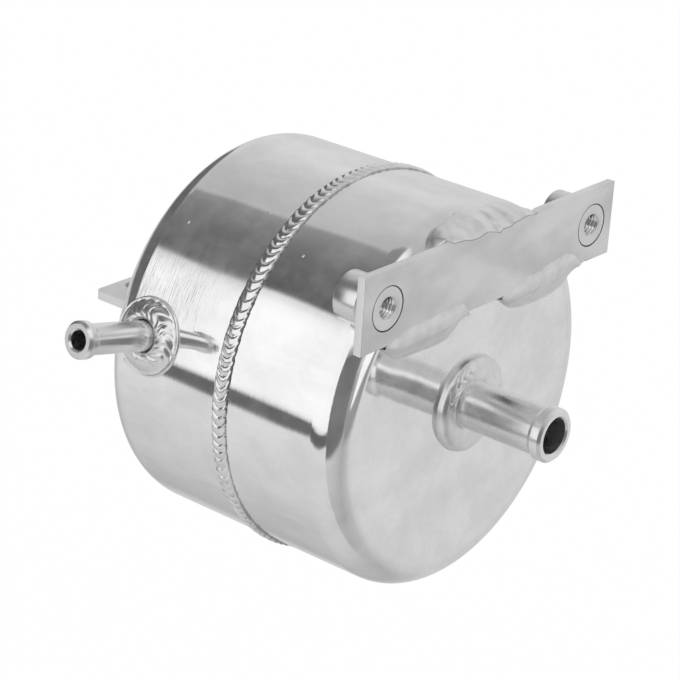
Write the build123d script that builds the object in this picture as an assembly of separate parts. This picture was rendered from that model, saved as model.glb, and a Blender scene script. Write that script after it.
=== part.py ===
from build123d import *

import os
from math import cos, pi, radians, sin, sqrt

# Coolant expansion tank, welded up from two drawn aluminium cups.
# Millimetres. The model is laid out about the tank's own axis: X runs along that axis with 0 on
# the outlet end face, Y runs along the mounting strip and Z points from the axis to the strip.
# Each finished piece is then moved so that the origin lies midway between the two bosses.

# Tank shell
TANK_R = 65.0
TANK_LENGTH = 98.0
SHELL_WALL = 2.0
RIM_RADIUS = 9.5
SEAM_FROM_REAR = 51.5

# Girth weld over the seam
BEAD_WIDTH = 6.5
BEAD_HEIGHT = 1.35
BEAD_RIPPLES = 128
BEAD_RIPPLE_DIP = 0.5
BEAD_CRESCENT = 1.7
BEAD_SHARES = (0.0, 0.14, 0.32, 0.5, 0.68, 0.86, 1.0)

# Hose spigots
SPIGOT_INSIDE = 2.0
SPIGOT_LIP_CHAMFER = 0.6
FEED_R = 8.0
FEED_BORE_R = 6.0
FEED_REACH = 36.0
FEED_LIP_R = 9.0
FEED_LIP_WIDTH = 4.0
VENT_R = 5.0
VENT_BORE_R = 3.2
VENT_REACH = 31.5
VENT_LIP_R = 6.1
VENT_LIP_WIDTH = 3.6
VENT_FROM_REAR = 17.3
VENT_TILT = 13.4

# Welds round the spigots and the neck
FEED_WELD_R = 17.0
FEED_WELD_HEIGHT = 3.4
FEED_WELD_RIPPLES = 26
VENT_WELD_R = 13.0
VENT_WELD_HEIGHT = 3.0
VENT_WELD_RIPPLES = 22
NECK_WELD_LEG = 5.0
NECK_WELD_HEIGHT = 3.2
NECK_WELD_RIPPLES = 30
RING_RIPPLE_DIP = 0.4
RING_WOBBLE = 0.8
WELD_ROOT = 1.2
RING_PROFILE = ((1.0, 0.04), (0.78, 0.5), (0.5, 0.9), (0.22, 1.0), (0.0, 0.72))

# Mounting strip with its two threaded bosses
STRIP_LENGTH = 128.0
STRIP_WIDTH = 25.0
STRIP_THICKNESS = 3.0
STRIP_STANDOFF = 4.0
BOSS_FROM_CROWN = 16.1
BOSS_FROM_STRIP_END = 11.5
BOSS_R = 8.0
BOSS_BEHIND_STRIP = 12.0
BOSS_CHAMFER = 0.8
THREAD_MINOR_R = 3.4
THREAD_MOUTH_CHAMFER = 0.3
BOSS_WELD_LEG = 3.0
BOSS_WELD_PROFILE = ((0.0, 1.0), (0.31, 0.92), (0.62, 0.62), (0.92, 0.31), (1.0, 0.0))

# Welds between the strip and the tank, each from one place along Y to another in shares of the
# tank's radius. The lower profile gives x in shares of the strip's front and z above its lower
# edge. The upper one gives x and z from the strip's upper edge, then x in shares of the rim's
# radius and z from the tank's crown.
LOWER_LEFT_WELD = (-0.69, -0.09)
LOWER_RIGHT_WELD = (0.185, 0.8)
UPPER_WELD = (-0.385, 0.29)
LOWER_PAD_PROFILE = (
    (-0.3, 2.5), (-0.3, -11.5), (0.12, -11.0), (0.5, -8.6), (0.85, -5.0),
    (1.08, -1.6), (1.17, 0.8), (1.13, 2.6), (0.96, 4.0), (0.5, 2.5),
)
LOWER_PAD_HEART = (0.35, -1.0)
UPPER_PAD_AT_STRIP = ((0.51, -6.0), (0.97, -0.8), (0.97, 0.5), (0.57, 1.5))
UPPER_PAD_AT_CROWN = ((-0.35, 0.5), (-0.65, 0.3), (-0.8, -1.5), (-0.6, -6.0), (-0.1, -12.5))
UPPER_PAD_MIDDLE = (0.5, 1.5)
UPPER_PAD_HEART = (-1.0, -2.5)
PAD_STEPS = 26
PAD_END_SHARE = 0.22
PAD_WOBBLE = 0.07
PAD_SWELLS = 1.8
PAD_RIPPLES = 4.3

# Rear tab
TAB_WIDTH = 25.0
TAB_THICKNESS = 3.0
TAB_REACH = 20.5
TAB_CENTRE_FROM_SIDE = 29.6
TAB_TOP_Z = 15.0
TAB_CORNER_R = 2.0
TAB_HOLE_R = 3.3
TAB_HOLE_FROM_TIP = 6.0
TAB_WELD_LEG = 3.5
TAB_WELD_INSET = 1.0
TAB_WELD_PROFILE = (
    (-0.3, -0.3), (-0.3, 1.0), (0.1, 1.0), (0.62, 0.62), (1.0, 0.1), (1.0, -0.3),
)

# Filler neck, a little off the tank's axis to leave finger room beside the tab
NECK_Y = 6.0
NECK_Z = -4.0
NECK_R = 21.0
NECK_BORE_R = 16.2
NECK_THROAT_R = 14.0
NECK_HEIGHT = 17.0
NECK_SEAL_DEPTH = 14.0
NECK_INSIDE = 2.0
NECK_CHAMFER = 0.6

# Screw cap
RUNNING_GAP = 0.3
THREAD_GAP = 0.4
CAP_WALL = 6.1
CAP_TOP_THICKNESS = 4.0
CAP_SKIRT_OVERLAP = 9.5
CAP_EDGE_RADIUS = 1.5
CAP_FLUTES = 18
CAP_FLUTE_R = 2.2
CAP_FLUTE_DEPTH = 1.1
FLANGE_LAP = 0.4
FLANGE_THICKNESS = 2.2

# Plug inside the cap, with its two seals
PLUG_FLOOR_THICKNESS = 2.0
PLUG_CHAMBER_R = 11.5
PLUG_SEAT_R = 7.0
PLUG_TO_THROAT = 0.5
ORING_WIRE_R = 1.05
ORING_SQUEEZE_GAP = 0.15
GROOVE_WIDTH = 2.4
GROOVE_FROM_TIP = (1.6, 6.0)

# Pressure relief valve
SEAL_R = 9.5
SEAL_HOLE_R = 4.0
SEAL_THICKNESS = 1.5
PLATE_R = 10.5
PLATE_THICKNESS = 1.2
RELIEF_COIL_R = 8.5
RELIEF_WIRE_R = 0.7
RELIEF_TURNS = 4.5
RETAINER_THICKNESS = 1.5
RETAINER_HOLE_R = 3.2
RETAINER_VENTS = 4
RETAINER_VENT_R = 1.2

# Vacuum valve in the middle of the relief valve
VACUUM_DISC_R = 5.2
VACUUM_DISC_THICKNESS = 1.0
VACUUM_DISC_GAP = 0.1
VACUUM_STEM_R = 1.2
VACUUM_STEM_GAP = 0.3
VACUUM_COLLAR_R = 2.6
VACUUM_COLLAR_THICKNESS = 1.0
VACUUM_SPRING_LENGTH = 4.0
VACUUM_COIL_R = 1.9
VACUUM_WIRE_R = 0.28
VACUUM_TURNS = 4.0

# Facets of both coil springs
COIL_STEPS_PER_TURN = 14
WIRE_SIDES = 5

# Places worked out from the sizes above
REAR_X = -TANK_LENGTH
SEAM_X = REAR_X + SEAM_FROM_REAR
VENT_X = REAR_X + VENT_FROM_REAR
BOSS_RISE = TANK_R - BOSS_FROM_CROWN
BOSS_SPACING = STRIP_LENGTH - 2 * BOSS_FROM_STRIP_END
TAB_CENTRE_Y = TAB_CENTRE_FROM_SIDE - TANK_R
STRIP_FRONT_X = STRIP_STANDOFF + STRIP_THICKNESS
STRIP_LOW_Z = BOSS_RISE - STRIP_WIDTH / 2
STRIP_HIGH_Z = BOSS_RISE + STRIP_WIDTH / 2
BOSS_BACK_X = STRIP_STANDOFF - BOSS_BEHIND_STRIP
RIM_X = REAR_X - NECK_HEIGHT
FLANGE_LOW_X = RIM_X - RUNNING_GAP
FLANGE_TOP_X = FLANGE_LOW_X - FLANGE_THICKNESS
SKIRT_BORE_R = NECK_R + THREAD_GAP
CAP_R = SKIRT_BORE_R + CAP_WALL
FLANGE_R = SKIRT_BORE_R + FLANGE_LAP
CAP_INNER_X = FLANGE_TOP_X - RUNNING_GAP
CAP_TOP_X = CAP_INNER_X - CAP_TOP_THICKNESS
SKIRT_END_X = RIM_X + CAP_SKIRT_OVERLAP
PLUG_R = NECK_BORE_R - RUNNING_GAP
PLUG_TIP_X = RIM_X + NECK_SEAL_DEPTH - PLUG_TO_THROAT
ORING_R = NECK_BORE_R - ORING_SQUEEZE_GAP - ORING_WIRE_R
GROOVE_FLOOR_R = ORING_R - ORING_WIRE_R
SEAT_X = PLUG_TIP_X - PLUG_FLOOR_THICKNESS
PLATE_LOW_X = SEAT_X - SEAL_THICKNESS
PLATE_TOP_X = PLATE_LOW_X - PLATE_THICKNESS
RETAINER_LOW_X = FLANGE_TOP_X + RETAINER_THICKNESS
COLLAR_LOW_X = PLATE_TOP_X - VACUUM_SPRING_LENGTH
PLATE_HOLE_R = VACUUM_STEM_R + VACUUM_STEM_GAP

# From the layout's zero to the point midway between the bosses, on the strip's front face
TO_MOUNT = (-STRIP_FRONT_X, 0, -BOSS_RISE)


def save(name, shape):
    """Write one piece, moved so that the mounting point is the origin."""
    export_step(Pos(*TO_MOUNT) * shape, f"parts/{name}.step")


def save_at_neck(name, shape):
    """Write one piece that was laid out about the tank's axis but belongs on the neck's."""
    save(name, Pos(0, NECK_Y, NECK_Z) * shape)


def rod(radius, x_from, x_to, y=0.0, z=0.0):
    """Round bar along X."""
    middle = (x_from + x_to) / 2
    return Pos(middle, y, z) * Rot(0, 90, 0) * Cylinder(radius, abs(x_to - x_from))


def block(x_from, x_to, y_from, y_to, z_from, z_to):
    """Box between two corners."""
    middle = ((x_from + x_to) / 2, (y_from + y_to) / 2, (z_from + z_to) / 2)
    return Pos(*middle) * Box(x_to - x_from, y_to - y_from, z_to - z_from)


def turned(profile):
    """Solid of revolution about X from (x, radius) points."""
    outline = make_face(Polyline(*[(x, radius, 0) for x, radius in profile], close=True))
    return revolve(outline, Axis.X, 360)


def can(radius, x_back, x_front, corner):
    """Closed round can along X with rounded rims."""
    body = rod(radius, x_back, x_front)
    return fillet(body.edges().filter_by(GeomType.CIRCLE), corner)


TANK_FORM = can(TANK_R, REAR_X, 0, RIM_RADIUS)
TANK_HOLLOW = can(TANK_R - SHELL_WALL, REAR_X + SHELL_WALL, -SHELL_WALL, RIM_RADIUS - SHELL_WALL)


def vent_place():
    """Plane at the foot of the vent spigot, on the tank's surface, with Z along the spigot."""
    tilt = radians(VENT_TILT)
    outward = Vector(0, -cos(tilt), sin(tilt))
    foot = Vector(VENT_X, 0, 0) + outward * TANK_R
    return Plane(origin=foot, x_dir=Vector(1, 0, 0), z_dir=outward)


def facet(a, b, c):
    """Flat triangle."""
    return Face(Wire.make_polygon([a, b, c], close=True))


def skinned(loops, ring):
    """Closed faceted solid over loops of points, joined end to end when ring is true."""
    faces = []
    following = loops[1:] + loops[:1] if ring else loops[1:]
    for near, far in zip(loops, following):
        for i, here in enumerate(near):
            j = (i + 1) % len(near)
            faces.append(facet(here, near[j], far[j]))
            faces.append(facet(here, far[j], far[i]))
    if not ring:
        for loop in (loops[0], loops[-1]):
            centre = sum(loop, Vector(0, 0, 0)) * (1 / len(loop))
            for i, here in enumerate(loop):
                faces.append(facet(here, loop[(i + 1) % len(loop)], centre))
    solid = Solid(Shell(faces))
    return solid if solid.volume > 0 else -solid


def arch(share):
    """Rise of a weld's crown from one toe, at 0, to the other, at 1."""
    return sqrt(max(0.0, 1 - (2 * share - 1) ** 2))


def seam_bead():
    """Rippled girth weld: crescents that overlap like coins, lying on the shell."""
    steps = 2 * BEAD_RIPPLES
    seat_r = TANK_R / cos(pi / steps)
    loops = []
    for k in range(steps):
        height = BEAD_HEIGHT if k % 2 else BEAD_HEIGHT - BEAD_RIPPLE_DIP
        loop = []
        for share in BEAD_SHARES:
            lag = BEAD_CRESCENT * arch(share) if 0 < share < 1 else 0.0
            angle = 2 * pi * k / steps + lag / TANK_R
            radius = seat_r + height * arch(share)
            x = SEAM_X + BEAD_WIDTH * (share - 0.5)
            loop.append(Vector(x, radius * cos(angle), radius * sin(angle)))
        loops.append(loop)
    return skinned(loops, ring=True)


def weld_ring(place, tube_r, toe_r, height, ripples, drop):
    """Rippled fillet round a tube, rooted under the surface. drop gives how far that surface
    falls away at a distance from the tube's axis across the tank."""
    steps = 2 * ripples
    root_r = tube_r - WELD_ROOT
    loops = []
    for k in range(steps):
        angle = 2 * pi * k / steps
        edge_r = toe_r + RING_WOBBLE * (0.6 * sin(3 * angle + 0.7) + 0.4 * sin(7 * angle))
        dip = 0.0 if k % 2 else RING_RIPPLE_DIP
        section = [(root_r, 0.0, -WELD_ROOT), (edge_r, 0.0, -WELD_ROOT)]
        for share, rise in RING_PROFILE:
            lag = BEAD_CRESCENT * arch(share) / toe_r
            radius = tube_r + (edge_r - tube_r) * share
            section.append((radius, lag, height * rise - dip * arch(share)))
        section.append((root_r, 0.0, height * RING_PROFILE[-1][1]))
        loop = []
        for radius, lag, up in section:
            across = radius * sin(angle + lag)
            along = radius * cos(angle + lag)
            loop.append(place.from_local_coords(Vector(along, across, up - drop(across))))
        loops.append(loop)
    return skinned(loops, ring=True)


def flat(across):
    """A flat surface falls away nowhere."""
    return 0.0


def round_tank(across):
    """How far the tank's wall falls away beside a line along its top."""
    return TANK_R - sqrt(TANK_R**2 - across**2)


def weld_pad(span, section_at, heart):
    """Weld laid along Y: its cross-section of (x, z) points swells and necks round its heart.
    span is in shares of the tank's radius, and section_at gives the full section at a place
    along Y."""
    start = span[0] * TANK_R
    end = span[1] * TANK_R
    loops = []
    for k in range(PAD_STEPS + 1):
        share = k / PAD_STEPS
        taper = PAD_END_SHARE + (1 - PAD_END_SHARE) * (1 - abs(2 * share - 1) ** 3) ** 0.5
        wave = sin(2 * pi * PAD_SWELLS * share + 1) + 0.5 * sin(2 * pi * PAD_RIPPLES * share)
        size = taper * (1 + PAD_WOBBLE * wave)
        y = start + (end - start) * share
        loop = [
            Vector(heart[0] + (x - heart[0]) * size, y, heart[1] + (z - heart[1]) * size)
            for x, z in section_at(y)
        ]
        loops.append(loop)
    return skinned(loops, ring=False)


def coil(radius, wire_r, x_low, x_high, turns):
    """Compression spring along X, wound in short straight stretches of faceted wire."""
    steps = int(turns * COIL_STEPS_PER_TURN)
    bottom = x_low - wire_r
    top = x_high + wire_r
    loops = []
    for k in range(steps + 1):
        angle = 2 * pi * k / COIL_STEPS_PER_TURN
        x = bottom + (top - bottom) * k / steps
        loop = []
        for side in range(WIRE_SIDES):
            turn = 2 * pi * side / WIRE_SIDES
            out = radius + wire_r * sin(turn)
            loop.append(Vector(x + wire_r * cos(turn), out * cos(angle), out * sin(angle)))
        loops.append(loop)
    return skinned(loops, ring=False)


def spigot(radius, bore_r, reach, lip_r, lip_width):
    """Hose tube along X from inside the wall to its lip, with a chamfered mouth."""
    inside = SHELL_WALL + SPIGOT_INSIDE
    chamfer = SPIGOT_LIP_CHAMFER
    neck_run = (lip_r - radius) * 1.2
    return turned(
        [
            (-inside, bore_r),
            (-inside, radius),
            (reach - lip_width - neck_run, radius),
            (reach - lip_width, lip_r - chamfer / 2),
            (reach - lip_width + chamfer / 2, lip_r),
            (reach - chamfer * 1.5, lip_r),
            (reach, lip_r - chamfer * 1.5),
            (reach, bore_r + chamfer),
            (reach - chamfer, bore_r),
        ]
    )


def cups():
    """The two drawn cups, butted at the seam, with holes for the tubes and the neck."""
    shell = TANK_FORM - TANK_HOLLOW
    reach = TANK_R * 2
    front = shell & block(SEAM_X, reach, -reach, reach, -reach, reach)
    back = shell & block(-reach, SEAM_X, -reach, reach, -reach, reach)
    front -= rod(FEED_R, -reach, reach)
    back -= rod(NECK_R, REAR_X - SHELL_WALL, REAR_X + 2 * SHELL_WALL, NECK_Y, NECK_Z)
    place = vent_place()
    back -= place.location * Cylinder(VENT_R, 4 * SHELL_WALL)
    return front, back


def feed_spigot():
    """Large spigot on the tank's axis."""
    return spigot(FEED_R, FEED_BORE_R, FEED_REACH, FEED_LIP_R, FEED_LIP_WIDTH)


def vent_spigot():
    """Small spigot, square to the round wall near the filler end."""
    tube = spigot(VENT_R, VENT_BORE_R, VENT_REACH, VENT_LIP_R, VENT_LIP_WIDTH)
    return vent_place().location * Rot(0, -90, 0) * tube


def feed_weld():
    """Wide hand-laid ring round the feed spigot on the end face."""
    place = Plane(origin=(0, 0, 0), x_dir=(0, 1, 0), z_dir=(1, 0, 0))
    ring = weld_ring(place, FEED_R, FEED_WELD_R, FEED_WELD_HEIGHT, FEED_WELD_RIPPLES, flat)
    return ring - TANK_FORM - rod(FEED_R, -TANK_R, TANK_R)


def vent_weld():
    """Ring round the vent spigot, saddled on the round wall."""
    place = vent_place()
    ring = weld_ring(place, VENT_R, VENT_WELD_R, VENT_WELD_HEIGHT, VENT_WELD_RIPPLES, round_tank)
    return ring - TANK_FORM - place.location * Cylinder(VENT_R, TANK_R)


def neck_weld():
    """Ring round the filler neck on the rear face."""
    place = Plane(origin=(REAR_X, 0, 0), x_dir=(0, 1, 0), z_dir=(-1, 0, 0))
    toe_r = NECK_R + NECK_WELD_LEG
    ring = weld_ring(place, NECK_R, toe_r, NECK_WELD_HEIGHT, NECK_WELD_RIPPLES, flat)
    return ring - TANK_FORM - rod(NECK_R, REAR_X - TANK_R, REAR_X + TANK_R)


def mounting_strip():
    """Flat bar with a hole for each boss."""
    half = STRIP_LENGTH / 2
    bar = block(STRIP_STANDOFF, STRIP_FRONT_X, -half, half, STRIP_LOW_Z, STRIP_HIGH_Z)
    for side in (-1, 1):
        bar -= rod(BOSS_R, 0, 2 * STRIP_FRONT_X, side * BOSS_SPACING / 2, BOSS_RISE)
    return bar


def boss(side):
    """Threaded boss, flush with the strip's front, coped where it meets the tank."""
    chamfer = BOSS_CHAMFER
    mouth = THREAD_MOUTH_CHAMFER
    body = turned(
        [
            (BOSS_BACK_X, THREAD_MINOR_R + mouth),
            (BOSS_BACK_X, BOSS_R - chamfer),
            (BOSS_BACK_X + chamfer, BOSS_R),
            (STRIP_FRONT_X, BOSS_R),
            (STRIP_FRONT_X, THREAD_MINOR_R + mouth),
            (STRIP_FRONT_X - mouth, THREAD_MINOR_R),
            (BOSS_BACK_X + mouth, THREAD_MINOR_R),
        ]
    )
    return Pos(0, side * BOSS_SPACING / 2, BOSS_RISE) * body - TANK_FORM


def boss_weld(side):
    """Fillet round the boss behind the strip."""
    leg = BOSS_WELD_LEG
    profile = [(STRIP_STANDOFF, BOSS_R)]
    for back, out in BOSS_WELD_PROFILE:
        profile.append((STRIP_STANDOFF - leg * back, BOSS_R + leg * out))
    ring = turned(profile)
    return Pos(0, side * BOSS_SPACING / 2, BOSS_RISE) * ring - TANK_FORM


def lower_strip_weld(span):
    """Fat fillet from the end face up over the strip's lower edge."""
    section = [(x * STRIP_FRONT_X, STRIP_LOW_Z + z) for x, z in LOWER_PAD_PROFILE]
    heart = (LOWER_PAD_HEART[0] * STRIP_FRONT_X, STRIP_LOW_Z + LOWER_PAD_HEART[1])
    pad = weld_pad(span, lambda y: section, heart)
    return pad - TANK_FORM - mounting_strip()


def upper_strip_weld():
    """Pool that runs from the tank's rounded rim over the strip's upper edge."""

    def section(y):
        crown = sqrt(TANK_R**2 - y**2)
        middle_z = (STRIP_HIGH_Z + crown) / 2 + UPPER_PAD_MIDDLE[1]
        points = [(x * STRIP_FRONT_X, STRIP_HIGH_Z + z) for x, z in UPPER_PAD_AT_STRIP]
        points.append((UPPER_PAD_MIDDLE[0], middle_z))
        points += [(x * RIM_RADIUS, crown + z) for x, z in UPPER_PAD_AT_CROWN]
        return points

    heart = (UPPER_PAD_HEART[0], STRIP_HIGH_Z + UPPER_PAD_HEART[1])
    pad = weld_pad(UPPER_WELD, section, heart)
    return pad - TANK_FORM - mounting_strip()


def rear_tab():
    """Flat tab, butted edge-on to the rear face, with a round hole near its tip."""
    tip_x = REAR_X - TAB_REACH
    half = TAB_WIDTH / 2
    side_y = (TAB_CENTRE_Y - half, TAB_CENTRE_Y + half)
    plate = block(tip_x, REAR_X, *side_y, TAB_TOP_Z - TAB_THICKNESS, TAB_TOP_Z)
    plate = fillet(plate.edges().filter_by(Axis.Z).group_by(Axis.X)[0], TAB_CORNER_R)
    hole = Cylinder(TAB_HOLE_R, 3 * TAB_THICKNESS)
    return plate - Pos(tip_x + TAB_HOLE_FROM_TIP, TAB_CENTRE_Y, TAB_TOP_Z - TAB_THICKNESS / 2) * hole


def tab_weld(above):
    """Fillet along the foot of the tab, on its upper or its lower side."""
    leg = TAB_WELD_LEG
    face_z = TAB_TOP_Z if above else TAB_TOP_Z - TAB_THICKNESS
    up = 1 if above else -1
    section = [(REAR_X - leg * x, face_z + up * leg * z) for x, z in TAB_WELD_PROFILE]
    half = TAB_WIDTH / 2 - TAB_WELD_INSET
    span = ((TAB_CENTRE_Y - half) / TANK_R, (TAB_CENTRE_Y + half) / TANK_R)
    pad = weld_pad(span, lambda y: section, (REAR_X, face_z))
    return pad - TANK_FORM - rear_tab()


def filler_neck():
    """Turned neck: smooth seal bore at the mouth, narrower throat below."""
    inner_x = REAR_X + SHELL_WALL + NECK_INSIDE
    throat_x = RIM_X + NECK_SEAL_DEPTH
    return turned(
        [
            (inner_x, NECK_THROAT_R),
            (inner_x, NECK_R),
            (RIM_X + NECK_CHAMFER, NECK_R),
            (RIM_X, NECK_R - NECK_CHAMFER),
            (RIM_X, NECK_BORE_R + NECK_CHAMFER),
            (RIM_X + NECK_CHAMFER, NECK_BORE_R),
            (throat_x, NECK_BORE_R),
            (throat_x, NECK_THROAT_R),
        ]
    )


def cap_shell():
    """Fluted screw cap that hangs on the plug's flange."""
    cap = rod(CAP_R, CAP_TOP_X, SKIRT_END_X)
    cap = fillet(cap.edges().filter_by(GeomType.CIRCLE).sort_by(Axis.X)[0], CAP_EDGE_RADIUS)
    cap -= rod(SKIRT_BORE_R, RIM_X, SKIRT_END_X)
    cap -= rod(FLANGE_R + RUNNING_GAP, CAP_INNER_X, RIM_X)
    centre_r = CAP_R + CAP_FLUTE_R - CAP_FLUTE_DEPTH
    for k in range(CAP_FLUTES):
        angle = 2 * pi * k / CAP_FLUTES
        flute_end = CAP_TOP_X + CAP_EDGE_RADIUS
        y = centre_r * cos(angle)
        z = centre_r * sin(angle)
        cap -= rod(CAP_FLUTE_R, flute_end, SKIRT_END_X, y, z)
    return cap


def oring_places():
    """X of the middle of each seal groove."""
    return [PLUG_TIP_X - distance - GROOVE_WIDTH / 2 for distance in GROOVE_FROM_TIP]


def cap_plug():
    """Flanged plug: grooves outside, spring chamber inside, valve seat in its floor."""
    body = rod(FLANGE_R, FLANGE_TOP_X, FLANGE_LOW_X)
    body += rod(PLUG_R, FLANGE_LOW_X, PLUG_TIP_X)
    body -= rod(PLUG_CHAMBER_R, FLANGE_TOP_X, SEAT_X)
    body -= rod(PLUG_SEAT_R, SEAT_X, PLUG_TIP_X)
    for x in oring_places():
        half = GROOVE_WIDTH / 2
        body -= rod(PLUG_R + 1, x - half, x + half) - rod(GROOVE_FLOOR_R, x - half, x + half)
    return body


def oring(x):
    """Rubber ring in one of the plug's grooves."""
    return Pos(x, 0, 0) * Rot(0, 90, 0) * Torus(ORING_R, ORING_WIRE_R)


def spring_retainer():
    """Disc that closes the chamber and takes the relief spring's thrust."""
    disc = rod(PLUG_CHAMBER_R, FLANGE_TOP_X, RETAINER_LOW_X)
    disc -= rod(RETAINER_HOLE_R, FLANGE_TOP_X, RETAINER_LOW_X)
    vent_circle = (RETAINER_HOLE_R + RELIEF_COIL_R) / 2
    for k in range(RETAINER_VENTS):
        angle = 2 * pi * (k + 0.5) / RETAINER_VENTS
        y = vent_circle * cos(angle)
        z = vent_circle * sin(angle)
        disc -= rod(RETAINER_VENT_R, FLANGE_TOP_X, RETAINER_LOW_X, y, z)
    return disc


def valve_plate():
    """Metal plate that the relief spring presses on the seal."""
    plate = rod(PLATE_R, PLATE_TOP_X, PLATE_LOW_X)
    return plate - rod(PLATE_HOLE_R, PLATE_TOP_X, PLATE_LOW_X)


def valve_seal():
    """Rubber washer between the plate and the seat."""
    return rod(SEAL_R, PLATE_LOW_X, SEAT_X) - rod(SEAL_HOLE_R, PLATE_LOW_X, SEAT_X)


def relief_spring():
    """Spring between the valve plate and the retainer."""
    return coil(RELIEF_COIL_R, RELIEF_WIRE_R, PLATE_TOP_X, RETAINER_LOW_X, RELIEF_TURNS)


def vacuum_spring():
    """Small spring that holds the vacuum disc up against the seal."""
    return coil(VACUUM_COIL_R, VACUUM_WIRE_R, PLATE_TOP_X, COLLAR_LOW_X, VACUUM_TURNS)


def vacuum_valve():
    """Mushroom valve: disc under the seal, stem through the plate, collar above."""
    disc_top_x = SEAT_X + VACUUM_DISC_GAP
    collar_top_x = COLLAR_LOW_X - VACUUM_COLLAR_THICKNESS
    return turned(
        [
            (disc_top_x + VACUUM_DISC_THICKNESS, 0),
            (disc_top_x + VACUUM_DISC_THICKNESS, VACUUM_DISC_R),
            (disc_top_x, VACUUM_DISC_R),
            (disc_top_x, VACUUM_STEM_R),
            (COLLAR_LOW_X, VACUUM_STEM_R),
            (COLLAR_LOW_X, VACUUM_COLLAR_R),
            (collar_top_x, VACUUM_COLLAR_R),
            (collar_top_x, 0),
        ]
    )


def main():
    os.makedirs("parts", exist_ok=True)
    outlet_cup, filler_cup = cups()
    save("outlet_cup", outlet_cup)
    save("filler_cup", filler_cup)
    save("seam_bead", seam_bead())
    save("feed_spigot", feed_spigot())
    save("feed_weld", feed_weld())
    save("vent_spigot", vent_spigot())
    save("vent_weld", vent_weld())
    save("mounting_strip", mounting_strip())
    for name, side in (("left", -1), ("right", 1)):
        save(f"boss_{name}", boss(side))
        save(f"boss_weld_{name}", boss_weld(side))
    save("strip_weld_lower_left", lower_strip_weld(LOWER_LEFT_WELD))
    save("strip_weld_lower_right", lower_strip_weld(LOWER_RIGHT_WELD))
    save("strip_weld_upper", upper_strip_weld())
    save("rear_tab", rear_tab())
    save("tab_weld_upper", tab_weld(True))
    save("tab_weld_lower", tab_weld(False))
    save_at_neck("filler_neck", filler_neck())
    save_at_neck("neck_weld", neck_weld())
    save_at_neck("cap_shell", cap_shell())
    save_at_neck("cap_plug", cap_plug())
    for name, x in zip(("inner", "outer"), oring_places()):
        save_at_neck(f"cap_seal_{name}", oring(x))
    save_at_neck("spring_retainer", spring_retainer())
    save_at_neck("valve_plate", valve_plate())
    save_at_neck("valve_seal", valve_seal())
    save_at_neck("relief_spring", relief_spring())
    save_at_neck("vacuum_valve", vacuum_valve())
    save_at_neck("vacuum_spring", vacuum_spring())


main()
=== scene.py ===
from math import cos, pi, radians, sin

import bpy
import numpy as np
from mathutils import Matrix


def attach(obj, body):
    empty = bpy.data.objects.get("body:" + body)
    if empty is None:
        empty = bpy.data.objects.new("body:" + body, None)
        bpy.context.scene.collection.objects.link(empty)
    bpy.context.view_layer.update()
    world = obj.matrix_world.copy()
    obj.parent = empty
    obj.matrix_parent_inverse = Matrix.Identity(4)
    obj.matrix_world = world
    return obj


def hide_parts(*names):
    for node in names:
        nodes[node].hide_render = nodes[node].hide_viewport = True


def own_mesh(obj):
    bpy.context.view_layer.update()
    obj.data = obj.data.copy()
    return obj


# Looks of the coolant expansion tank: finishes, finer forms of the welds, strip, bosses and
# springs, then the studio, the floor and the camera. Blender's own lengths are in metres.

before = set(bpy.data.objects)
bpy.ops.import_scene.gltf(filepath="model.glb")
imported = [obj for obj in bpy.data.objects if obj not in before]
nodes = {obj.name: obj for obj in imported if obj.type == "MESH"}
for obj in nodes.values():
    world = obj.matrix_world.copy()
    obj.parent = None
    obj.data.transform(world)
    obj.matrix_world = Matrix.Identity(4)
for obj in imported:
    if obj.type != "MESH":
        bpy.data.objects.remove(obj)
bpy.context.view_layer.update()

FLOOR_Z = -0.37
FLOOR_SIZE = 6.0

# The camera's place in metres, its angles in degrees and its lens in millimetres.
CAMERA_PLACE = (0.428025, -0.609402, 0.291172)
CAMERA_AZIMUTH = -51.35193
CAMERA_RISE = 23.28462
CAMERA_ROLL = 3.7063
CAMERA_LENS = 135.989

# The finer forms are laid out in millimetres about the tank's own axis, with x = 0 on the outlet
# end face, y along the strip and z towards it, as in the part's source.
MM = 0.001
FULL_TURN = 2 * pi
ALONG_X, ALONG_Y, ALONG_Z = np.eye(3)

TANK_R = 65.0
REAR_X = -98.0
SEAM_X = -46.5
RIM_R = 9.5
STRIP_FRONT = 7.0
STRIP_THICK = 3.0
STRIP_HALF = 64.0
STRIP_LOW = 36.4
STRIP_HIGH = 61.4
BOSS_Y = 52.5
BOSS_Z = 48.9
BOSS_NOSE_R = 7.1
FEED_R = 8.0
VENT_R = 5.0
VENT_TILT = radians(13.4)
VENT_X = -80.7
NECK_R = 21.0
NECK_Y = 6.0
NECK_Z = -4.0
TO_ROW = np.array((-STRIP_FRONT, 0.0, -BOSS_Z))

# How deep the edges of the forms reach into the metal that they lie on.
BEAD_SUNK = 0.04
PAD_SUNK = 0.05

# The strip's upper edge as the weld left it, as (y, z) from left to right.
MELTED_EDGE = (
    (-34.0, 61.3), (-28.9, 61.3), (-21.3, 61.5), (-15.0, 60.9), (-12.5, 60.2), (-8.5, 60.0),
    (-4.5, 60.9), (-0.2, 59.8), (2.2, 58.9), (3.5, 59.9), (7.7, 59.7), (9.4, 60.5),
    (12.2, 60.6), (16.4, 61.1), (20.3, 60.5), (23.5, 61.3),
)

# Two nicks in the strip's lower edge, as (y, depth).
NICKS = (
    (-62.2, 0), (-61.7, 0.45), (-61.2, 0.3), (-60.8, 0),
    (50.2, 0), (50.7, 0.5), (51.2, 0.6), (51.8, 0),
)

# Specks of weld spatter, each on the round wall straight out from its point.
SPATTER = ((-57.3, -33.1, 55.9), (-35.7, -41.5, 50.0), (-82.1, -43.5, 48.3))


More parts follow.
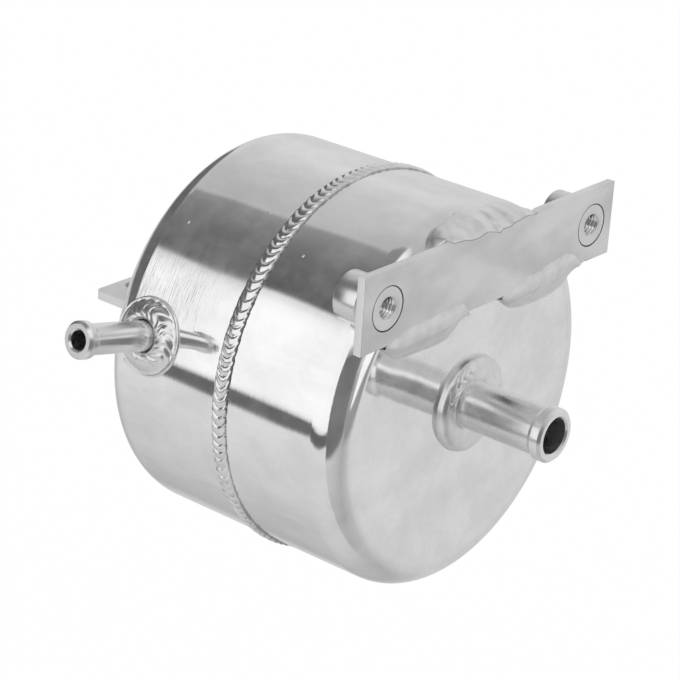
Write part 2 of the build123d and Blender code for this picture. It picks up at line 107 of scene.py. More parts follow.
class Graph:
    """Short names for the shader nodes that the materials and the world are made of."""

    def __init__(self, tree):
        self.tree = tree
        self.tree.nodes.clear()

    def add(self, kind, **settings):
        made = self.tree.nodes.new(kind)
        for name, value in settings.items():
            setattr(made, name, value)
        return made

    def feed(self, socket, value):
        if isinstance(value, bpy.types.NodeSocket):
            self.tree.links.new(value, socket)
        else:
            socket.default_value = value

    def math(self, operation, *values):
        made = self.add("ShaderNodeMath", operation=operation)
        for socket, value in zip(made.inputs, values):
            self.feed(socket, value)
        return made.outputs[0]

    def times(self, first, second):
        return self.math("MULTIPLY", first, second)

    def angle(self, y, x):
        """Angle of the point (x, y), in degrees."""
        return self.math("DEGREES", self.math("ARCTAN2", y, x))

    def step(self, value, low, high, out_low=0.0, out_high=1.0):
        """Smooth rise from out_low to out_high while value goes from low to high."""
        made = self.add("ShaderNodeMapRange", interpolation_type="SMOOTHSTEP")
        for name, given in zip(
            ("Value", "From Min", "From Max", "To Min", "To Max"),
            (value, low, high, out_low, out_high),
        ):
            self.feed(made.inputs[name], given)
        return made.outputs[0]

    def band(self, value, rise, fall):
        """1 between two soft edges. rise and fall each give the value where the edge is 0 and
        the value where it is 1."""
        return self.times(self.step(value, *rise), self.step(value, *fall))

    def blend(self, share, near, far):
        """Number between near and far."""
        made = self.add("ShaderNodeMix", data_type="FLOAT")
        self.feed(made.inputs[0], share)
        self.feed(made.inputs[2], near)
        self.feed(made.inputs[3], far)
        return made.outputs[0]

    def mix(self, share, near, far):
        """Shader between near and far."""
        made = self.add("ShaderNodeMixShader")
        for socket, value in zip(made.inputs, (share, near, far)):
            self.feed(socket, value)
        return made.outputs[0]

    def ramp(self, value, stops):
        """Grey level that runs straight from stop to stop."""
        made = self.add("ShaderNodeValToRGB")
        self.feed(made.inputs[0], value)
        elements = made.color_ramp.elements
        elements[0].position, first = stops[0]
        elements[0].color = grey(first)
        elements[1].position, last = stops[-1]
        elements[1].color = grey(last)
        for place, level in stops[1:-1]:
            elements.new(place).color = grey(level)
        return made.outputs[0]

    def coordinates(self, kind):
        """Object coordinates are in metres and fixed to the piece."""
        return self.add("ShaderNodeTexCoord").outputs[kind]

    def split(self, vector):
        """The x, y and z of a vector."""
        made = self.add("ShaderNodeSeparateXYZ")
        self.feed(made.inputs[0], vector)
        return made.outputs

    def stretch(self, vector, scale):
        made = self.add("ShaderNodeMapping")
        self.feed(made.inputs["Vector"], vector)
        self.feed(made.inputs["Scale"], scale)
        return made.outputs[0]

    def noise(self, vector, scale, detail=2.0, rough=0.5):
        made = self.add("ShaderNodeTexNoise")
        for name, value in zip(
            ("Vector", "Scale", "Detail", "Roughness"),
            (vector, scale, detail, rough),
        ):
            self.feed(made.inputs[name], value)
        return made.outputs[0]

    def bump(self, height, distance, under=None):
        made = self.add("ShaderNodeBump")
        self.feed(made.inputs["Height"], height)
        self.feed(made.inputs["Distance"], distance)
        self.feed(made.inputs["Strength"], 1.0)
        if under is not None:
            self.feed(made.inputs["Normal"], under)
        return made.outputs[0]


def grey(level):
    return (level, level, level, 1)


def surface(name, colour, metallic, roughness):
    """Plain material with its graph and shader, for more to be added."""
    made = bpy.data.materials.new(name)
    made.use_nodes = True
    graph = Graph(made.node_tree)
    shader = graph.add("ShaderNodeBsdfPrincipled")
    shader.inputs["Base Color"].default_value = colour
    shader.inputs["Metallic"].default_value = metallic
    shader.inputs["Roughness"].default_value = roughness
    out = graph.add("ShaderNodeOutputMaterial")
    graph.feed(out.inputs[0], shader.outputs[0])
    return made, graph, shader


def shade_of(graph, shader, level):
    """Let a number drive the shader's grey."""
    mixed = graph.add("ShaderNodeCombineColor")
    for socket in mixed.inputs:
        graph.feed(socket, level)
    graph.feed(shader.inputs["Base Color"], mixed.outputs[0])


def polished_shell(name, haze_low, haze_high, dull):
    """Hand-polished drawn aluminium: a mirror with slow waves, cloudy haze and fine drag lines.
    dull adds a streaky, badly polished belt between the strip's side and the small tube."""
    made, graph, shader = surface(name, grey(0.93), metallic=1.0, roughness=0.08)
    place = graph.coordinates("Object")
    haze = graph.noise(place, 38.0, detail=5.0, rough=0.6)
    rough = graph.step(haze, 0.35, 0.72, haze_low, haze_high)
    cloud = graph.noise(graph.stretch(place, (0.6, 1.0, 1.0)), 60.0, detail=6.0, rough=0.65)
    shade_of(graph, shader, graph.step(cloud, 0.3, 0.7, 0.84, 0.96))
    if dull:
        _, y, z = graph.split(place)
        turn = graph.angle(graph.times(y, -1.0), graph.math("ADD", z, -TO_ROW[2] * MM))
        streaks = graph.noise(graph.stretch(place, (9.0, 1.0, 1.0)), 40.0, detail=5.0, rough=0.6)
        reach = 4.0
        turn = graph.math("MULTIPLY_ADD", streaks, 2 * reach, graph.math("SUBTRACT", turn, reach))
        belt = graph.band(turn, rise=(39.0, 44.0), fall=(56.0, 47.0))
        rough = graph.math("MULTIPLY_ADD", belt, 0.13, rough)
    graph.feed(shader.inputs["Roughness"], rough)
    bloom = graph.noise(place, 85.0, detail=6.0, rough=0.7)
    graph.feed(shader.inputs["Metallic"], graph.step(bloom, 0.38, 0.66, 0.995, 0.93))
    waves = graph.noise(graph.stretch(place, (0.5, 1.0, 1.0)), 26.0, detail=1.5)
    slow = graph.bump(waves, 0.0009)
    drag = graph.noise(graph.stretch(place, (9.0, 0.6, 0.6)), 220.0)
    graph.feed(shader.inputs["Normal"], graph.bump(drag, 0.000012, under=slow))
    return made


def weld_metal(name, low, high, toes=None):
    """Aluminium as the torch left it, satin with fine bright crests. low and high are the ends
    of its roughness, and toes darkens it from that far off the girth seam, in metres."""
    made, graph, shader = surface(name, grey(0.84), metallic=1.0, roughness=0.2)
    place = graph.coordinates("Object")
    patch = graph.noise(place, 130.0, detail=3.0)
    graph.feed(shader.inputs["Roughness"], graph.step(patch, 0.3, 0.7, low, high))
    shade = graph.step(graph.noise(place, 260.0, detail=4.0), 0.35, 0.65, 0.82, 0.9)
    if toes:
        x, _, _ = graph.split(place)
        off = graph.math("ABSOLUTE", graph.math("ADD", x, -(SEAM_X + TO_ROW[0]) * MM))
        ragged = graph.math("ADD", off, graph.step(patch, 0.2, 0.8, -0.0003, 0.0003))
        shade = graph.blend(graph.step(ragged, toes - 0.0004, toes + 0.0003), shade, 0.42)
    shade_of(graph, shader, shade)
    pits = graph.noise(place, 700.0, detail=3.0)
    graph.feed(shader.inputs["Normal"], graph.bump(pits, 0.000012))
    return made


def turned_metal(name, level, low, high):
    """Lathe-turned aluminium, low and high being the ends of its roughness."""
    made, graph, shader = surface(name, grey(level), metallic=1.0, roughness=0.1)
    patch = graph.noise(graph.coordinates("Object"), 120.0, detail=3.0)
    graph.feed(shader.inputs["Roughness"], graph.step(patch, 0.3, 0.7, low, high))
    return made


def bar_metal(name):
    """Mill-finished flat bar, stained by heat and handling, with matt sawn ends whose paler grey is
    painted light.
    """
    made, graph, shader = surface(name, grey(0.8), metallic=1.0, roughness=0.32)
    place = graph.coordinates("Object")
    stain = graph.noise(graph.stretch(place, (1.0, 0.8, 1.6)), 42.0, detail=3.0)
    _, y, _ = graph.split(graph.coordinates("Normal"))
    # The ends, found by their normal, are rougher and get a paler grey: painted highlight for the light
    # they catch.
    sawn_and_lit = graph.step(graph.math("ABSOLUTE", y), 0.7, 0.9)
    shade_of(graph, shader, graph.blend(sawn_and_lit, graph.step(stain, 0.32, 0.68, 0.7, 0.87), 0.97))
    patch = graph.noise(place, 90.0, detail=4.0)
    matt = graph.step(patch, 0.3, 0.7, 0.25, 0.4)
    graph.feed(shader.inputs["Roughness"], graph.blend(sawn_and_lit, matt, 0.55))
    scuffs = graph.noise(graph.stretch(place, (1.0, 6.0, 1.0)), 300.0, detail=3.0)
    graph.feed(shader.inputs["Normal"], graph.bump(scuffs, 0.00001))
    return made


def plain(name, level, metallic, roughness, tint=(1.0, 1.0, 1.0)):
    """Material of one colour."""
    colour = (level * tint[0], level * tint[1], level * tint[2], 1)
    return surface(name, colour, metallic, roughness)[0]


# Each finish of the record, with its material and the nodes that wear it.
FINISHES = {
    "polished_shell": (
        polished_shell("polished_shell", haze_low=0.025, haze_high=0.1, dull=False),
        ("outlet_cup", "filler_cup"),
    ),
    "weld": (
        weld_metal("weld", 0.27, 0.4),
        (
            "seam_bead", "feed_weld", "vent_weld", "boss_weld_left", "boss_weld_right",
            "strip_weld_lower_left", "strip_weld_lower_right", "strip_weld_upper",
            "tab_weld_upper", "tab_weld_lower", "neck_weld",
        ),
    ),
    "turned_aluminium": (
        turned_metal("turned_aluminium", 0.93, 0.11, 0.19),
        ("feed_spigot", "vent_spigot", "boss_left", "boss_right", "filler_neck"),
    ),
    "flat_bar": (bar_metal("flat_bar"), ("mounting_strip", "rear_tab")),
    "cap_plastic": (
        plain("cap_plastic", 0.025, metallic=0.0, roughness=0.42),
        ("cap_shell",),
    ),
    "plug_plastic": (
        plain("plug_plastic", 0.06, metallic=0.0, roughness=0.45),
        ("cap_plug", "spring_retainer"),
    ),
    "seal_rubber": (
        plain("seal_rubber", 0.015, metallic=0.0, roughness=0.6),
        ("cap_seal_inner", "cap_seal_outer", "valve_seal"),
    ),
    "spring_steel": (
        plain("spring_steel", 0.62, metallic=1.0, roughness=0.22),
        ("relief_spring", "vacuum_spring"),
    ),
    "brass_plate": (
        plain("brass_plate", 0.8, metallic=1.0, roughness=0.25, tint=(1.0, 0.8, 0.45)),
        ("valve_plate", "vacuum_valve"),
    ),
}

# Looks that single pieces have within their finish, and the painted shade of a gap.
GAP_SHADE = plain("painted_gap_shade", 0.03, metallic=0.0, roughness=0.7)
DULL_SHELL = polished_shell("polished_shell_rear", haze_low=0.025, haze_high=0.085, dull=True)
BEAD_METAL = weld_metal("weld_bead", 0.13, 0.22, toes=0.0028)
PAD_METAL = weld_metal("weld_pad", 0.36, 0.48)
RING_METAL = weld_metal("weld_ring", 0.2, 0.32)
SATIN_TUBE = turned_metal("turned_brushed", 0.93, 0.22, 0.31)
SATIN_BOSS = turned_metal("turned_satin", 0.82, 0.22, 0.34)


def dress(piece, finish):
    """Give a piece one of the record's finishes, or the painted shade of a gap, which isn't a finish."""
    piece.data.materials.clear()
    if finish == "painted_gap_shade":
        piece.data.materials.append(GAP_SHADE)
        return
    piece.data.materials.append(FINISHES[finish][0])


def redress(piece, material):
    """Change a piece's looks within its slot."""
    piece.data.materials.clear()
    piece.data.materials.append(material)


def sheet(name, points, finish, around=False, stands_for=()):
    """Smooth piece over a grid of points in the forms' own layout. around also joins the last
    row of points to the first."""
    rows, columns = points.shape[:2]
    flat = (points.reshape(-1, 3) + TO_ROW) * MM
    index = np.arange(rows * columns).reshape(rows, columns)
    near = index if around else index[:-1]
    far = np.roll(index, -1, axis=0) if around else index[1:]
    quads = np.stack((near[:, :-1], near[:, 1:], far[:, 1:], far[:, :-1]), axis=-1).reshape(-1, 4)
    mesh = bpy.data.meshes.new(name)
    mesh.from_pydata(flat.tolist(), [], quads.tolist())
    mesh.polygons.foreach_set("use_smooth", [True] * len(mesh.polygons))
    mesh.update()
    piece = bpy.data.objects.new(name, mesh)
    bpy.context.scene.collection.objects.link(piece)
    dress(piece, finish)
    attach(piece, "tank")
    if stands_for:
        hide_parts(*stands_for)
    return piece


def circle(count):
    """Angles all the way round, one to a row."""
    return np.linspace(0, FULL_TURN, count, endpoint=False)[:, None]


def spread(count):
    """Shares from 0 to 1, one to a column."""
    return np.linspace(0, 1, count)[None, :]


def wander(value, swings):
    """Slow irregular swing between about -1 and 1, the same at every run. swings gives the rate
    and the phase of each wave in it."""
    total = 0.0
    for rate, phase in swings:
        total = total + np.sin(rate * value + phase)
    return total / len(swings)


def scale_height(phase):
    """Rise of one solidified puddle over its length: steep at its rear edge, then falling."""
    part = phase - np.floor(phase)
    return np.sin(pi * part**0.62) ** 0.75


def arch(share):
    """Half round over a share from 0 to 1."""
    return np.sqrt(np.clip(1 - (2 * share - 1) ** 2, 0, 1))


def dome(y, x, at, half):
    """Height of a rounded puddle, 0 outside it."""
    return np.sqrt(np.clip(1 - ((y - at[0]) / half[0]) ** 2 - ((x - at[1]) / half[1]) ** 2, 0, 1))


def spline(values, at):
    """Smooth curve through (place, value) pairs."""
    places = np.array([p for p, _ in values])
    heights = np.array([h for _, h in values])
    slopes = np.gradient(heights, places)
    k = np.clip(np.searchsorted(places, at) - 1, 0, len(places) - 2)
    span = places[k + 1] - places[k]
    t = np.clip((at - places[k]) / span, 0, 1)
    t2, t3 = t * t, t * t * t
    return (
        (2 * t3 - 3 * t2 + 1) * heights[k]
        + (t3 - 2 * t2 + t) * slopes[k] * span
        + (3 * t2 - 2 * t3) * heights[k + 1]
        + (t3 - t2) * slopes[k + 1] * span
    )


def seam_bead():
    """Girth weld of 128 overlapping crescents."""
    ripples, per_ripple = 128, 12
    top, half_width, uneven = 1.3, 3.1, 0.05
    angle = circle(ripples * per_ripple)
    share = spread(19)
    drift = 0.25 * wander(angle, ((7, 0.3), (13, 1.9), (29, 4.0)))
    lag = (3.9 * arch(share) ** 1.5) / TANK_R
    phase = (angle - lag) * ripples / FULL_TURN + drift
    swell = 1 + uneven * wander(angle, ((11, 0.4), (23, 2.0), (47, 1.0)))
    height = top * swell * arch(share) * (0.5 + 0.5 * scale_height(phase)) / (1 + uneven)
    edge = 0.16 * wander(angle, ((37, 0.0), (61, 2.2), (101, 0.7)))
    edge = edge + 0.22 * (scale_height(angle * ripples / FULL_TURN + drift) - 0.6)
    x = SEAM_X + 0.12 * wander(angle, ((3, 0.5), (8, 2.1))) + (half_width + edge) * (2 * share - 1)
    radius = TANK_R - BEAD_SUNK + height
    points = np.stack((x + 0 * radius, radius * np.cos(angle), radius * np.sin(angle)), axis=-1)
    bead = sheet("seam_bead_rippled", points, "weld", around=True, stands_for=("seam_bead",))
    redress(bead, BEAD_METAL)


def end_face(across):
    """Fall of a flat wall away from a tube's foot."""
    return 0.0 * across


def round_wall(across):
    """Fall of the round wall away from a tube's foot."""
    return TANK_R - np.sqrt(TANK_R**2 - across**2)


def ring_weld(
    name, stands_for, foot, tube_r, toe_r, top, section,
    ripples, depth, curl, fades, wall=end_face, lean=(0.0, 0.0),
):
    """Fillet round a tube that stands on a wall. foot is the tube's foot and the three ways along
    the wall, across it and out of it. section is the fillet's height from the tube outwards, as
    shares of top. The ripples curl back from the toe, strong where fades says so, as angles and
    strengths. lean is how far the toe sits off the tube's centre."""
    angle = circle(ripples * 16)
    share = spread(30)
    edge = toe_r + 0.16 * wander(angle, ((3, 0.7), (5, 2.4), (11, 0.2)))
    bulge = spline(section, share)
    strength = np.interp(angle % FULL_TURN, *fades)
    reach = np.exp(-(((share - 0.48) / 0.29) ** 2))
    lag = curl * reach
    drift = 0.25 * wander(angle, ((3, 0.9), (5, 3.0), (8, 1.1)))
    ripple = scale_height((angle - lag) * ripples / FULL_TURN + drift) - 1
    height = top * bulge * (1 + 0.04 * wander(angle, ((2, 1.0), (6, 0.3))))
    height = height + depth * strength * ripple * reach
    radius = tube_r - PAD_SUNK + (edge - tube_r) * share**0.9
    across = radius * np.sin(angle) + lean[1] * share
    along = radius * np.cos(angle) + lean[0] * share
    lift = height - wall(across)
    origin, u, v, w = foot
    points = origin + along[..., None] * u + across[..., None] * v + lift[..., None] * w
    return sheet(name, points, "weld", around=True, stands_for=stands_for)


def feed_ring():
    """Wide ring of slow ripples round the large tube."""
    ring_weld(
        "feed_weld_rippled",
        ("feed_weld",),
        foot=(np.zeros(3), ALONG_Y, ALONG_Z, ALONG_X),
        tube_r=FEED_R,
        toe_r=16.6,
        top=3.3,
        section=(
            (0, 0.86), (0.06, 0.96), (0.15, 1.0), (0.4, 1.0), (0.6, 0.95),
            (0.76, 0.83), (0.88, 0.62), (0.96, 0.34), (1, -0.06),
        ),
        ripples=20,
        depth=0.8,
        curl=0.26,
        fades=(
            (0, 1.5, 1.8, 2.65, 2.95, 3.6, FULL_TURN),
            (0.02, 0.06, 0.9, 1.0, 0.12, 0.02, 0.02),
        ),
        lean=(2.3, -1.3),
    )


def vent_ring():
    """Saddle-shaped ring round the small tube, with a thin skirt."""
    out = np.array((0.0, -cos(VENT_TILT), sin(VENT_TILT)))
    ring = ring_weld(
        "vent_weld_rippled",
        ("vent_weld",),
        foot=(VENT_X * ALONG_X + out * TANK_R, ALONG_X, np.cross(out, ALONG_X), out),
        tube_r=VENT_R,
        toe_r=13.2,
        top=2.8,
        section=(
            (0, 0.2), (0.04, 0.66), (0.1, 0.94), (0.22, 1.05), (0.42, 0.97), (0.57, 0.74),
            (0.69, 0.46), (0.77, 0.26), (0.86, 0.18), (0.97, 0.13), (1, -0.1),
        ),
        ripples=18,
        depth=0.66,
        curl=0.4,
        fades=(
            (0, 1.2, 2.8, 3.6, 4.6, 5.4, FULL_TURN),
            (1.0, 0.9, 0.6, 0.3, 0.1, 0.8, 1.0),
        ),
        wall=round_wall,
        lean=(1.2, 0.0),
    )
    redress(ring, RING_METAL)


def neck_ring():
    """Even ring of fine ripples round the filler neck, on the hidden end."""
    ring_weld(
        "neck_weld_rippled",
        ("neck_weld",),
        foot=(np.array((REAR_X, NECK_Y, NECK_Z)), ALONG_Y, ALONG_Z, -ALONG_X),
        tube_r=NECK_R,
        toe_r=25.7,
        top=2.9,
        section=((0, 1.0), (0.2, 0.86), (0.45, 0.6), (0.7, 0.32), (0.9, 0.12), (1, -0.06)),
        ripples=44,
        depth=0.5,
        curl=0.09,
        fades=((0, FULL_TURN), (0.7, 0.7)),
    )


def lower_pad(side, top, toe, rough):
    """Weld from the end face up over the strip's lower edge. top follows its upper edge on the
    strip's front and toe its lower edge on the end face, both as (y, z) from left to right.
    rough turns its ripples up and its groove down."""
    along = np.linspace(0, 1, 260)[:, None]
    share = spread(40)
    places = np.linspace(0, 1, len(top))
    high = [spline(list(zip(places, values)), along) for values in zip(*top)]
    low = [spline(list(zip(places, values)), along) for values in zip(*toe)]
    y = high[0] + (low[0] - high[0]) * share
    closing = np.clip(np.minimum(along, 1 - along) / 0.14, 0, 1)
    full = 0.3 + 0.7 * np.sqrt(1 - (1 - closing) ** 2)
    section = (
        (0, 0.0), (0.08, 0.32), (0.18, 0.8), (0.3, 1.0),
        (0.46, 0.86), (0.64, 0.52), (0.82, 0.2), (1, -0.02),
    )
    place = y + 2.4 * arch(share)
    ripple = scale_height(place / 3.1 + 0.35 * wander(y, ((0.5, 0.2), (1.3, 2.0)))) - 0.7
    soft = wander(y + 4 * share, ((0.45, 0.4), (0.8, 2.8), (1.3, 1.0)))
    groove = np.exp(-(((share - 0.5 - 0.04 * soft) / 0.07) ** 2))
    swell = rough * 0.36 * ripple + 0.16 * soft - 0.2 * (1 - rough) * groove
    bulge = 2.5 * spline(section, share) * full + swell * arch(share) * full
    x = STRIP_FRONT - PAD_SUNK - (STRIP_FRONT + PAD_SUNK) * share + 0.9 * bulge
    z = high[1] + (low[1] - high[1]) * share - 0.42 * bulge
    pad = sheet(
        f"strip_weld_lower_{side}_laid",
        np.stack((x, y, z), axis=-1),
        "weld",
        stands_for=(f"strip_weld_lower_{side}",),
    )
    redress(pad, PAD_METAL)


def upper_pad():
    """Two puddles from the tank's rounded rim over the strip's melted upper edge."""
    start, end = -25.0, 25.0
    y = np.linspace(start, end, 400)[:, None]
    share = spread(60)
    rear_edge = (
        (-25.0, -0.5), (-21.8, -3.8), (-18.8, -4.9), (-13.3, -5.0), (-8.0, -5.2), (-4.2, -6.0),
        (-0.7, -5.2), (3.0, -4.6), (6.9, -4.4), (11.1, -5.4), (14.7, -5.8), (20.7, -4.0), (25.0, -0.5),
    )
    back = spline(rear_edge, y)
    rounding = np.sqrt(RIM_R**2 - np.clip(back + RIM_R, 0, RIM_R) ** 2)
    rim_z = np.sqrt(TANK_R**2 - y**2) - RIM_R + rounding
    edge = np.interp(y, *zip(*MELTED_EDGE))
    closing = np.sqrt(np.clip(np.minimum(y - start, end - y) / 3.5, 0, 1))
    front = 3.6 + (STRIP_FRONT - 3.9) * closing
    high = edge + 0.1 - 7.0 * (1 - closing)
    x = back + (front - back) * share
    straight = rim_z + (high - rim_z) * share
    soft = wander(y + 0.8 * x, ((0.5, 0.3), (0.9, 2.0), (1.6, 0.6)))
    body = np.interp(share, (0, 0.04, 0.12, 0.4, 0.75, 0.93, 1), (-0.06, 0.3, 0.5, 0.8, 0.9, 0.6, 0))
    first = 1.5 * dome(y, x, at=(-9.0, 0.6), half=(14.0, 6.4))
    second = 1.15 * dome(y, x, at=(10.5, -0.2), half=(14.5, 6.2))
    z = straight + closing * body * (0.55 + np.maximum(first, second) + 0.1 * soft)
    points = np.stack((x, y + 0 * x, z), axis=-1)
    pad = sheet("strip_weld_upper_laid", points, "weld", stands_for=("strip_weld_upper",))
    redress(pad, PAD_METAL)


def strip_outlines():
    """Edge of the strip as (y, z), then the edges of the two holes for the bosses."""
    low = [(-STRIP_HALF, STRIP_LOW)]
    low += [(y, STRIP_LOW + depth) for y, depth in NICKS]
    low += [(STRIP_HALF, STRIP_LOW), (STRIP_HALF, STRIP_HIGH)]
    high = list(reversed(MELTED_EDGE))
    high.append((-STRIP_HALF, STRIP_HIGH))
    rings = [low + high]
    for y in (-BOSS_Y, BOSS_Y):
        turn = np.linspace(0, FULL_TURN, 72, endpoint=False)
        rings.append([(y + BOSS_NOSE_R * cos(a), BOSS_Z - BOSS_NOSE_R * sin(a)) for a in turn])
    return rings


def strip_plate():
    """Flat bar with broken edges, its upper edge eaten by the weld, let out for the bosses."""
    broken = 0.22
    shape = bpy.data.curves.new("strip_outline", "CURVE")
    shape.dimensions = "2D"
    shape.fill_mode = "BOTH"
    shape.extrude = STRIP_THICK / 2 - broken
    shape.bevel_depth = broken
    shape.bevel_resolution = 2
    shape.offset = -broken
    for ring in strip_outlines():
        line = shape.splines.new("POLY")
        line.points.add(len(ring) - 1)
        for point, (y, z) in zip(line.points, ring):
            point.co = (y, z, 0, 1)
        line.use_cyclic_u = True
    holder = bpy.data.objects.new("strip_outline", shape)
    mesh = bpy.data.meshes.new_from_object(holder)
    bpy.data.objects.remove(holder)
    places = np.empty(len(mesh.vertices) * 3)
    mesh.vertices.foreach_get("co", places)
    y, z, depth = places.reshape(-1, 3).T
    x = STRIP_FRONT - STRIP_THICK / 2 + depth
    moved = (np.stack((x, y, z), axis=-1) + TO_ROW) * MM
    mesh.vertices.foreach_set("co", moved.ravel())
    mesh.polygons.foreach_set("use_smooth", [True] * len(mesh.polygons))
    mesh.set_sharp_from_angle(angle=radians(40))
    mesh.update()
    piece = bpy.data.objects.new("mounting_strip_worn", mesh)
    bpy.context.scene.collection.objects.link(piece)
    dress(piece, "flat_bar")
    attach(piece, "tank")
    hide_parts("mounting_strip")


def spatter(number, place):
    """Pinhead of weld spatter on the round wall."""
    turn = circle(16)
    share = spread(6)
    out = np.array((0.0, place[1], place[2])) / np.hypot(place[1], place[2])
    side = np.cross(out, ALONG_X)
    radius = 0.55 * np.sin(share * pi / 2 + 0.02)
    lift = TANK_R - BEAD_SUNK + 0.3 * np.cos(share * pi / 2)
    points = (
        place[0] * ALONG_X
        + (radius * np.cos(turn))[..., None] * ALONG_X
        + (radius * np.sin(turn))[..., None] * side
        + (lift + 0 * turn)[..., None] * out
    )
    sheet(f"spatter_{number}", points, "weld", around=True)


def round_boss(boss_y, x, radius, turn):
    """Points round a boss's axis."""
    y = boss_y + radius * np.cos(turn)
    z = BOSS_Z + radius * np.sin(turn)
    return np.stack((x + 0 * y, y, z), axis=-1)


def painted_joint_shade(side, boss_y):
    """Dark ring of painted shade round a boss where it is let into the strip, standing in for the gap's
    shadow, widest at the lower right.
    """
    turn = circle(96)
    # Painted shade: the ring is widest where the gap's shadow falls deepest.
    width = 0.34 + 0.16 * np.cos(turn + 0.6)
    radius = BOSS_NOSE_R - 0.12 + width * spread(2)
    points = round_boss(boss_y, STRIP_FRONT + 0.012, radius, turn)
    sheet(f"painted_joint_shade_{side}", points, "painted_gap_shade", around=True)


def threaded_boss(side, boss_y):
    """Turned boss with broken edges and an M8 thread cut through it."""
    # As (x, radius), from the rear mouth of the bore round the outside to the front mouth.
    profile = np.array(
        (
            (-8.0, 3.9), (-8.0, 7.6), (-7.9, 7.88), (-7.6, 8.0), (3.8, 8.0),
            (3.98, 7.9), (3.98, 7.02), (6.8, 7.02), (6.93, 6.97), (7.0, 6.84),
            (7.0, 6.8), (7.0, 3.9), (6.97, 3.84), (6.6, 3.5), (6.5, 3.45),
        )
    )
    points = round_boss(boss_y, profile[None, :, 0], profile[None, :, 1], circle(96))
    body = sheet(
        f"boss_{side}_turned",
        points,
        "turned_aluminium",
        around=True,
        stands_for=(f"boss_{side}",),
    )
    redress(body, SATIN_BOSS)

    pitch, per_turn = 1.25, 40
    low, high = -7.9, 6.7
    # One ridge of the thread, as (share of the pitch, radius).
    ridge = np.array(((-0.5, 3.95), (-0.44, 3.9), (-0.08, 3.25), (0.08, 3.25), (0.44, 3.9), (0.5, 3.95)))
    turn = np.arange(int((high - low) / pitch * per_turn) + 1)[:, None] * FULL_TURN / per_turn
    x = np.clip(low + pitch * turn / FULL_TURN + ridge[None, :, 0] * pitch, low, high)
    sheet(f"thread_{side}", round_boss(boss_y, x, ridge[None, :, 1], turn), "turned_aluminium")


def live_spring(name, body):
    """Coil of the same form as its node, as a piece of its own carried by the given body."""
    source = nodes[name]
    mesh = source.data.copy()
    mesh.transform(source.matrix_world)
    piece = bpy.data.objects.new(f"{name}_coil", mesh)
    bpy.context.scene.collection.objects.link(piece)
    dress(piece, "spring_steel")
    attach(piece, body)
    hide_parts(name)
    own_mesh(piece)


def build_world():
    """Studio round the tank: for the eye it is white, and polished metal sees its lights. The
    angles go round the tank's own axis, from the strip's side towards the small tube."""
    world = bpy.data.worlds.new("studio")
    bpy.context.scene.world = world
    world.use_nodes = True
    graph = Graph(world.node_tree)
    x, y, z = graph.split(graph.coordinates("Generated"))
    turn = graph.angle(graph.times(y, -1.0), z)
    share = graph.math("MULTIPLY_ADD", turn, 1 / 360, 0.5)
    azimuth = graph.angle(y, x)
    rise = graph.math("DEGREES", graph.math("ARCSINE", z))
    facing = graph.step(x, 0.41, 0.44)

    def levels_round(stops):
        """Level by the angle round the axis."""
        return graph.ramp(share, [(angle / 360 + 0.5, level) for angle, level in stops])

    def window(az_low, az_high, rise_low, rise_high, soft=1.5, fade=1.5, curl=0.0):
        """Share of one patch that the end face mirrors, by its azimuth and its rise. fade softens
        its right side, and curl lifts its lower edge towards there."""
        sides = graph.band(
            azimuth,
            rise=(az_low - soft, az_low + soft),
            fall=(az_high + fade, az_high - fade),
        )
        off = graph.math("SUBTRACT", azimuth, az_low)
        foot = graph.math("SUBTRACT", rise, graph.times(graph.times(off, off), curl))
        ends = graph.times(
            graph.step(foot, rise_low - soft, rise_low + soft),
            graph.step(rise, rise_high + 4 * soft, rise_high - soft),
        )
        return graph.times(facing, graph.times(sides, ends))

    # The round wall mirrors walls, the front rim the same with a wider light, and the end face
    # fronts.
    walls = levels_round(
        (
            (-180, 0.54), (-150, 0.46), (-138, 0.62), (-60, 0.7), (-30, 0.56), (-8, 0.5),
            (-3.6, 0.5), (-2.4, 0.29), (9, 0.21), (17, 0.16), (25, 0.13), (39, 0.1),
            (41.6, 0.12), (43.2, 0.72), (50, 0.95), (56, 1.02), (100.5, 1.0), (103.5, 0.86),
            (105.5, 0.12), (112, 0.14), (114, 0.73), (134, 0.69), (180, 0.56),
        )
    )
    fronts = levels_round(
        (
            (-180, 0.42), (-150, 0.5), (-127, 0.67), (-60, 0.72), (-20, 0.5), (30, 0.46),
            (38, 0.98), (104, 0.98), (112, 0.68), (150, 0.5), (180, 0.42),
        )
    )
    light = graph.band(turn, rise=(-9.0, 1.0), fall=(105.0, 102.5))
    rims = graph.blend(light, walls, 0.98)
    seen = graph.blend(graph.step(x, 0.0, 0.14), walls, graph.blend(facing, rims, fronts))

    # A grey patch, a bright one over it and the rim's dark one.
    seen = graph.blend(window(-1.0, 39.0, -22.5, -12.0), seen, 0.3)
    seen = graph.blend(window(4.0, 31.0, -14.0, -2.0), seen, 1.0)
    seen = graph.blend(window(-72.0, -4.0, -28.5, 24.0, soft=2.5, fade=8.0, curl=0.0021), seen, 0.17)

    # Dark patches behind the tank, for its filler end.
    behind = graph.times(
        graph.step(x, -0.635, -0.665),
        graph.band(turn, rise=(20.0, 30.0), fall=(112.0, 100.0)),
    )
    deep = graph.times(graph.step(x, -0.74, -0.8), graph.step(z, -0.15, 0.05))
    seen = graph.blend(graph.math("MAXIMUM", behind, deep), seen, 0.12)

    glossy = graph.add("ShaderNodeBackground")
    graph.feed(glossy.inputs["Color"], seen)
    white = graph.add("ShaderNodeBackground")
    white.inputs["Color"].default_value = grey(1.0)
    ray = graph.add("ShaderNodeLightPath")
    out = graph.add("ShaderNodeOutputWorld")
    mixed = graph.mix(ray.outputs["Is Glossy Ray"], white.outputs[0], glossy.outputs[0])
    graph.feed(out.inputs[0], mixed)


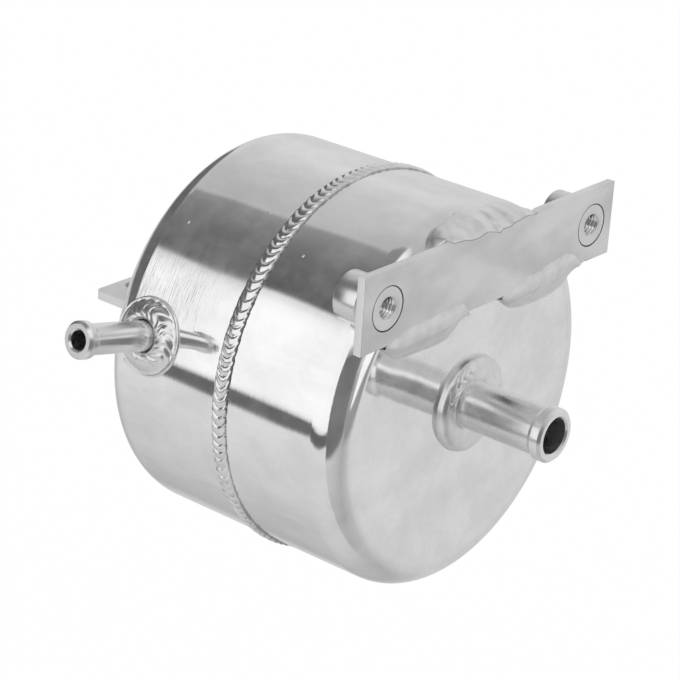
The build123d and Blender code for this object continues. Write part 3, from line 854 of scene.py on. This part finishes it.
def build_floor():
    """Pale floor well below the hung tank. It is white to the eye, keeps a soft shadow, and
    isn't there from underneath or for polished metal, which sees the studio instead."""
    bpy.ops.mesh.primitive_plane_add(size=FLOOR_SIZE, location=(0, 0, FLOOR_Z))
    floor = bpy.context.object
    floor.name = "floor"
    material = bpy.data.materials.new("floor")
    material.use_nodes = True
    graph = Graph(material.node_tree)
    matt = graph.add("ShaderNodeBsdfDiffuse")
    matt.inputs[0].default_value = grey(0.8)
    white = graph.add("ShaderNodeEmission")
    white.inputs[0].default_value = grey(1.0)
    white.inputs["Strength"].default_value = 1.02
    clear = graph.add("ShaderNodeBsdfTransparent")
    ray = graph.add("ShaderNodeLightPath")
    side = graph.add("ShaderNodeNewGeometry")
    to_eye = graph.times(ray.outputs["Is Camera Ray"], 0.9)
    seen = graph.mix(to_eye, matt.outputs[0], white.outputs[0])
    hidden = graph.math("MAXIMUM", ray.outputs["Is Glossy Ray"], side.outputs["Backfacing"])
    out = graph.add("ShaderNodeOutputMaterial")
    graph.feed(out.inputs[0], graph.mix(hidden, seen, clear.outputs[0]))
    floor.data.materials.append(material)


def build_camera():
    """Camera at the photo's place and lens, turned by its azimuth, its rise and its roll."""
    data = bpy.data.cameras.new("camera")
    data.sensor_width = 36.0
    data.lens = CAMERA_LENS
    data.clip_start = 0.02
    data.clip_end = 50.0
    camera = bpy.data.objects.new("camera", data)
    bpy.context.scene.collection.objects.link(camera)
    camera.matrix_world = (
        Matrix.Translation(CAMERA_PLACE)
        @ Matrix.Rotation(radians(CAMERA_AZIMUTH + 90), 4, "Z")
        @ Matrix.Rotation(radians(90 - CAMERA_RISE), 4, "X")
        @ Matrix.Rotation(radians(CAMERA_ROLL), 4, "Z")
    )
    bpy.context.scene.camera = camera


for finish, (material, names) in FINISHES.items():
    for name in names:
        dress(nodes[name], finish)
redress(nodes["filler_cup"], DULL_SHELL)
redress(nodes["feed_spigot"], SATIN_TUBE)
redress(nodes["vent_spigot"], SATIN_TUBE)

seam_bead()
feed_ring()
vent_ring()
neck_ring()
lower_pad(
    "left",
    top=((-52.0, 36.1), (-45.3, 38.9), (-33.4, 40.2), (-24.0, 40.4), (-15.4, 40.6), (-12.3, 36.7)),
    toe=((-46.5, 31.6), (-37.5, 25.8), (-24.5, 24.6), (-13.0, 24.8), (-6.5, 28.6), (-3.2, 32.0)),
    rough=0.03,
)
lower_pad(
    "right",
    top=((6.0, 36.0), (14.9, 39.8), (24.1, 40.6), (34.3, 42.3), (41.1, 42.5), (48.9, 37.5)),
    toe=((13.6, 31.2), (21.0, 26.2), (32.0, 24.6), (42.5, 24.9), (50.5, 27.0), (54.5, 32.3)),
    rough=0.42,
)
upper_pad()
strip_plate()
for number, place in enumerate(SPATTER):
    spatter(number, place)
for side, boss_y in (("left", -BOSS_Y), ("right", BOSS_Y)):
    threaded_boss(side, boss_y)
    painted_joint_shade(side, boss_y)
live_spring("relief_spring", "cap_core")
live_spring("vacuum_spring", "relief_valve")

build_world()
build_floor()
build_camera()
bpy.context.scene.view_settings.view_transform = "Standard"
